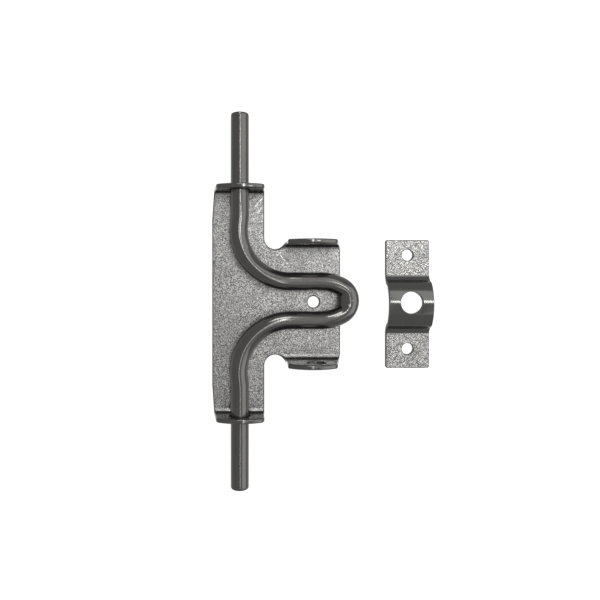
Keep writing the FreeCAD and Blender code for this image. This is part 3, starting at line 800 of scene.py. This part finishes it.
def bar_line(bolt):
    """The bar's middle line in its own plane, from the upper end round the loop to the lower end."""
    bend, back, loop, step = bolt.bend_radius, bolt.swell_radius, bolt.loop_half, bolt.path_step
    turn = acos(1.0 - bolt.bend_swell / (bend + back))
    bend_x, bend_y = bend - bolt.bend_swell, loop + bend
    join_y = bend_y + (bend + back) * sin(turn)
    tip_turn, tip_x, ease_x = tip_shape(bolt)
    # the rings at the rim lie closer, to round it
    rims = [bolt.reach - bolt.end_round * (1.0 - cos(pi / 2 * i / END_RINGS)) for i in range(END_RINGS + 1)]
    upper = [Vector((0, y, 0)) for y in rims]
    upper += line_points(upper[-1], Vector((0, join_y, 0)), step)
    upper += arc_points(Vector((-back, join_y, 0)), back, 0.0, -turn, step)
    upper += arc_points(Vector((bend_x, bend_y, 0)), bend, pi - turn, 1.5 * pi, step)
    upper += line_points(upper[-1], Vector((ease_x, loop, 0)), step)
    upper += arc_points(
        Vector((ease_x, loop - bolt.tip_ease, 0)), bolt.tip_ease, pi / 2, pi / 2 - tip_turn, step)
    tip = arc_points(
        Vector((tip_x, 0, 0)), bolt.tip_radius, pi / 2 - tip_turn, tip_turn - pi / 2, step * TIP_SPACING)
    lower = [Vector((point.x, -point.y, 0)) for point in reversed(upper)]
    return upper + tip[:-1] + lower


def end_scale(bolt, point):
    """How much of the full radius the bar has at a point of its line: less within its rounded rim."""
    inside = bolt.reach - abs(point.y)
    if inside >= bolt.end_round:
        return 1.0
    drop = sqrt(max(0.0, bolt.end_round ** 2 - (bolt.end_round - inside) ** 2))
    return 1.0 - (bolt.end_round - drop) / (bolt.diameter / 2)


def bar_tree():
    """Geometry Nodes: a round section along the bar's line, spread at the loop's tip and laid in place."""
    tree = bpy.data.node_groups.new("Bent Bar", "GeometryNodeTree")
    tree.is_modifier = True
    for label, kind in (
            ("Geometry", "Geometry"), ("Radius", "Float"), ("Tip radius", "Float"), ("Tip middle", "Float"),
            ("Tip spread", "Float"), ("Tip half width", "Float"), ("Sides", "Int"), ("Move", "Vector"),
            ("Turn", "Vector"), ("Coating", "Material")):
        tree.interface.new_socket(label, in_out="INPUT", socket_type="NodeSocket" + kind)
    tree.interface.new_socket("Geometry", in_out="OUTPUT", socket_type="NodeSocketGeometry")
    given, result = tree.nodes.new("NodeGroupInput").outputs, tree.nodes.new("NodeGroupOutput")
    section = add_node(tree, "GeometryNodeCurvePrimitiveCircle", inputs={
        "Resolution": given["Sides"], "Radius": given["Radius"]})
    # the rounded rims at the ends are in the line's own radius
    thick = add_node(tree, "GeometryNodeInputNamedAttribute", data_type="FLOAT", inputs={"Name": "radius"})
    sweep = add_node(tree, "GeometryNodeCurveToMesh", inputs={
        "Curve": given["Geometry"], "Profile Curve": section.outputs["Curve"],
        "Scale": thick.outputs["Attribute"], "Fill Caps": True})

    # inside the tip the metal is pushed towards the legs, most at the middle of the bend
    place = split(tree, tree.nodes.new("GeometryNodeInputPosition").outputs[0])
    along, across = minus(tree, place["X"], given["Tip middle"]), place["Y"]
    away = maths(tree, "SQRT", plus(tree, times(tree, along, along), times(tree, across, across)))
    inner = maths(tree, "DIVIDE", minus(tree, given["Tip radius"], away), given["Radius"], clamp=True)
    off = maths(tree, "DIVIDE", across, given["Tip half width"])
    share = minus(tree, 1.0, times(tree, off, off), clamp=True)
    push = times(tree, times(tree, inner, share), times(tree, given["Tip spread"], -1.0))
    shift = add_node(tree, "ShaderNodeCombineXYZ", inputs={"X": push})
    spread = add_node(tree, "GeometryNodeSetPosition", inputs={
        "Geometry": sweep.outputs["Mesh"], "Offset": shift.outputs[0]})
    lay = add_node(tree, "GeometryNodeTransform", inputs={
        "Geometry": spread.outputs["Geometry"], "Translation": given["Move"], "Rotation": given["Turn"]})
    smooth = add_node(tree, "GeometryNodeSetShadeSmooth", inputs={"Geometry": lay.outputs["Geometry"]})
    real = add_node(tree, "GeometryNodeRealizeInstances", inputs={"Geometry": smooth.outputs["Geometry"]})
    coated = add_node(tree, "GeometryNodeSetMaterial", inputs={
        "Geometry": real.outputs["Geometry"], "Material": given["Coating"]})
    wire(tree, result, {"Geometry": coated.outputs["Geometry"]})
    return tree


class SLIDEBOLT_OT_plate(bpy.types.Operator):
    """Draw the back plate flat, fold it and coat it"""
    bl_idname = "slide_bolt.plate"
    bl_label = "Back Plate"

    def execute(self, context):
        piece = folded_plate("coated_plate")
        coat_sheet(piece, plate_coating())
        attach(piece, "plate")
        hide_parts("back_plate")
        return {"FINISHED"}


class SLIDEBOLT_OT_keeper(bpy.types.Operator):
    """Coat the keeper strap and round its cut edges"""
    bl_idname = "slide_bolt.keeper"
    bl_label = "Keeper"

    def execute(self, context):
        piece = rounded_strap("keeper", "coated_keeper")
        coat_sheet(piece, keeper_coating())
        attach(piece, "plate")
        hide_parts("keeper")
        return {"FINISHED"}


class SLIDEBOLT_OT_bolt(bpy.types.Operator):
    """Sweep the round bar along its bent line"""
    bl_idname = "slide_bolt.bolt"
    bl_label = "Bolt"

    def execute(self, context):
        bolt, sheet = settings().bolt, settings().sheet
        # the loop leans down until its legs rest over the wing's edge
        wing_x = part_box("back_plate")[1][0]
        rest = acos((bolt.diameter / 2 + bolt.rest_gap) / hypot(bolt.rise, wing_x))
        lean = rest - atan2(wing_x, bolt.rise)
        curve = bpy.data.curves.new("bar_line", "CURVE")
        curve.dimensions = "3D"
        points = bar_line(bolt)
        spline = curve.splines.new("POLY")
        spline.points.add(len(points) - 1)
        for knot, point in zip(spline.points, points):
            knot.co = (*point, 1.0)
            knot.radius = end_scale(bolt, point)
        piece = link_piece("bent_bolt", curve)
        sweep = piece.modifiers.new("Sweep", "NODES")
        sweep.node_group = bar_tree()
        given = {
            "Radius": bolt.diameter / 2, "Tip radius": bolt.tip_radius, "Tip middle": tip_shape(bolt)[1],
            "Tip spread": bolt.tip_spread, "Tip half width": bolt.tip_half, "Sides": bolt.ring_steps,
            "Move": (0.0, bolt.rest_shift, sheet.thickness + bolt.rise), "Turn": (0.0, lean, 0.0),
            "Coating": bolt_coating()}
        for item in sweep.node_group.interface.items_tree:
            if item.in_out == "INPUT" and item.name in given:
                sweep[item.identifier] = given[item.name]
        mesh = plain_mesh(piece)
        bpy.data.objects.remove(piece)
        mesh.name = "bent_bolt"
        solid = link_piece("bent_bolt", mesh)
        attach(solid, "bolt")
        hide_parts("bolt_rod")
        return {"FINISHED"}


# the stage

# half the width of the floor in metres, and its gap under the latch
FLOOR_HALF = 3.0
FLOOR_GAP = 0.2 * MM
# the faintly blue light from all round
SOFT_COLOUR = (0.98, 0.98, 1.0, 1.0)
# the width of the camera's picture plane in millimetres, and the nearest that it sees in metres
SENSOR_WIDTH = 36.0
CLIP_START = 0.01


def seen_white(tree):
    """One for the camera and for the latch's gloss, which see white, and nothing for other light."""
    rays = tree.nodes.new("ShaderNodeLightPath").outputs
    return highest(tree, [rays[ray] for ray in ("Is Camera Ray", "Is Glossy Ray", "Is Transmission Ray")])


def floor_material():
    """A pale floor that is white to the camera and to the latch's gloss and keeps a soft shadow."""
    stage = settings().stage
    material = bpy.data.materials.new("Pale floor")
    material.use_nodes = True
    tree = material.node_tree
    tree.nodes.clear()
    seen = seen_white(tree)
    matt = add_node(tree, "ShaderNodeBsdfDiffuse", inputs={
        "Color": blend(tree, seen, stage.bounce_colour, stage.floor_colour)})
    glow = add_node(tree, "ShaderNodeEmission", inputs={"Color": WHITE, "Strength": stage.floor_white})
    mix = add_node(tree, "ShaderNodeMixShader", inputs={
        0: times(tree, seen, stage.floor_glow), 1: matt.outputs[0], 2: glow.outputs[0]})
    add_node(tree, "ShaderNodeOutputMaterial", inputs={"Surface": mix.outputs[0]})
    return material


def set_world(scene):
    """A world that is white to the camera and to gloss and lights the latch softly from all round."""
    world = bpy.data.worlds.new("Studio")
    scene.world = world
    world.use_nodes = True
    tree = world.node_tree
    tree.nodes.clear()
    soft = add_node(tree, "ShaderNodeBackground", inputs={
        "Color": SOFT_COLOUR, "Strength": settings().stage.soft_light})
    white = add_node(tree, "ShaderNodeBackground", inputs={"Color": WHITE, "Strength": 1.0})
    mix = add_node(tree, "ShaderNodeMixShader", inputs={
        0: seen_white(tree), 1: soft.outputs[0], 2: white.outputs[0]})
    add_node(tree, "ShaderNodeOutputWorld", inputs={"Surface": mix.outputs[0]})


def add_lamp(name, place, target, power, width, depth):
    """A rectangular lamp at a place, turned to its target."""
    lamp = bpy.data.lights.new(name, "AREA")
    lamp.shape = "RECTANGLE"
    lamp.size, lamp.size_y, lamp.energy = width, depth, power
    thing = link_piece(name, lamp)
    thing.location = place
    thing.rotation_euler = (Vector(target) - Vector(place)).to_track_quat("-Z", "Y").to_euler()


def set_camera(scene):
    """The camera straight above the latch, its picture shifted to the middle that the settings name."""
    stage = settings().stage
    camera = bpy.data.cameras.new("Camera")
    camera.sensor_width = SENSOR_WIDTH
    camera.lens = SENSOR_WIDTH * stage.camera_height / stage.frame_width
    camera.shift_x = (stage.frame_x - stage.camera_x) / stage.frame_width
    camera.shift_y = (stage.frame_y - stage.camera_y) / stage.frame_width
    camera.clip_start = CLIP_START
    scene.camera = link_piece("Camera", camera)
    scene.camera.location = (stage.camera_x, stage.camera_y, stage.camera_height)


class SLIDEBOLT_OT_stage(bpy.types.Operator):
    """Set the floor, the lamps, the world and the camera"""
    bl_idname = "slide_bolt.stage"
    bl_label = "Stage"

    def execute(self, context):
        stage, scene = settings().stage, context.scene
        scene.view_settings.view_transform = "Standard"
        shape = bmesh.new()
        bmesh.ops.create_grid(shape, x_segments=1, y_segments=1, size=FLOOR_HALF)
        floor = shape_piece("floor", shape)
        floor.location.z = cad_low[2] - FLOOR_GAP
        floor.data.materials.append(floor_material())
        set_world(scene)

        for name, place, target, power, width, depth in (
                ("Strip", (0.115, 0.28, 1.0), (0.115, 0.28, 0.0), stage.strip_power, 0.06, 0.38),
                ("Strip low", (0.11, -0.23, 1.0), (0.11, -0.23, 0.0), stage.strip_low_power, 0.06, 0.64),
                ("Near", (0.26, 0.0, 1.0), (0.26, 0.0, 0.0), stage.near_power, 0.14, 1.7),
                ("Middle", (0.26, 0.0, 1.0), (0.26, 0.0, 0.0), stage.middle_power, 0.14, 0.7),
                ("Right", (0.55, 0.65, 1.0), (0.55, 0.65, 0.0), stage.right_power, 0.4, 0.8),
                ("Lower", (0.63, -0.35, 1.0), (0.63, -0.35, 0.0), stage.lower_power, 0.24, 0.8),
                ("Far", (1.18, -0.05, 0.7), (0.0, -0.05, 0.0), stage.far_power, 1.5, 1.15),
                ("Back", (0.02, 0.75, 0.9), (0.0, 0.0, 0.0), stage.back_power, 0.36, 0.35),
                ("Key", (0.41, 0.13, 1.0), (0.41, 0.13, 0.0), stage.key_power, 0.24, 0.1)):
            add_lamp(name, place, target, power, width, depth)

        set_camera(scene)
        return {"FINISHED"}


class SlideBoltSettings(bpy.types.PropertyGroup):
    """All settings of the latch."""
    sheet: PointerProperty(type=SheetSettings, name="Sheet")
    bolt: PointerProperty(type=BoltSettings, name="Bolt")
    coating: PointerProperty(type=CoatingSettings, name="Coating")
    stage: PointerProperty(type=StageSettings, name="Stage")


class SLIDEBOLT_PT_panel(bpy.types.Panel):
    """Lists the latch's pieces and their settings"""
    bl_idname = "SLIDEBOLT_PT_panel"
    bl_label = "Slide Bolt Latch"
    bl_space_type = "VIEW_3D"
    bl_region_type = "UI"
    bl_category = "Slide Bolt"

    def draw(self, context):
        groups = settings()
        for group, operator in (
                (groups.sheet, SLIDEBOLT_OT_plate), (groups.bolt, SLIDEBOLT_OT_bolt),
                (groups.coating, SLIDEBOLT_OT_keeper), (groups.stage, SLIDEBOLT_OT_stage)):
            box = self.layout.box()
            box.operator(operator.bl_idname)
            for name in group.bl_rna.properties.keys():
                if name not in ("rna_type", "name"):
                    box.prop(group, name)


CLASSES = (SheetSettings, BoltSettings, CoatingSettings, StageSettings, SlideBoltSettings,
           SLIDEBOLT_OT_plate, SLIDEBOLT_OT_bolt, SLIDEBOLT_OT_keeper, SLIDEBOLT_OT_stage,
           SLIDEBOLT_PT_panel)


def register():
    for item in CLASSES:
        bpy.utils.register_class(item)
    bpy.types.Scene.slide_bolt = PointerProperty(type=SlideBoltSettings)


def unregister():
    del bpy.types.Scene.slide_bolt
    for item in reversed(CLASSES):
        bpy.utils.unregister_class(item)


def main():
    register()
    bpy.ops.slide_bolt.plate()
    bpy.ops.slide_bolt.bolt()
    bpy.ops.slide_bolt.keeper()
    bpy.ops.slide_bolt.stage()


if __name__ == "__main__":
    main()
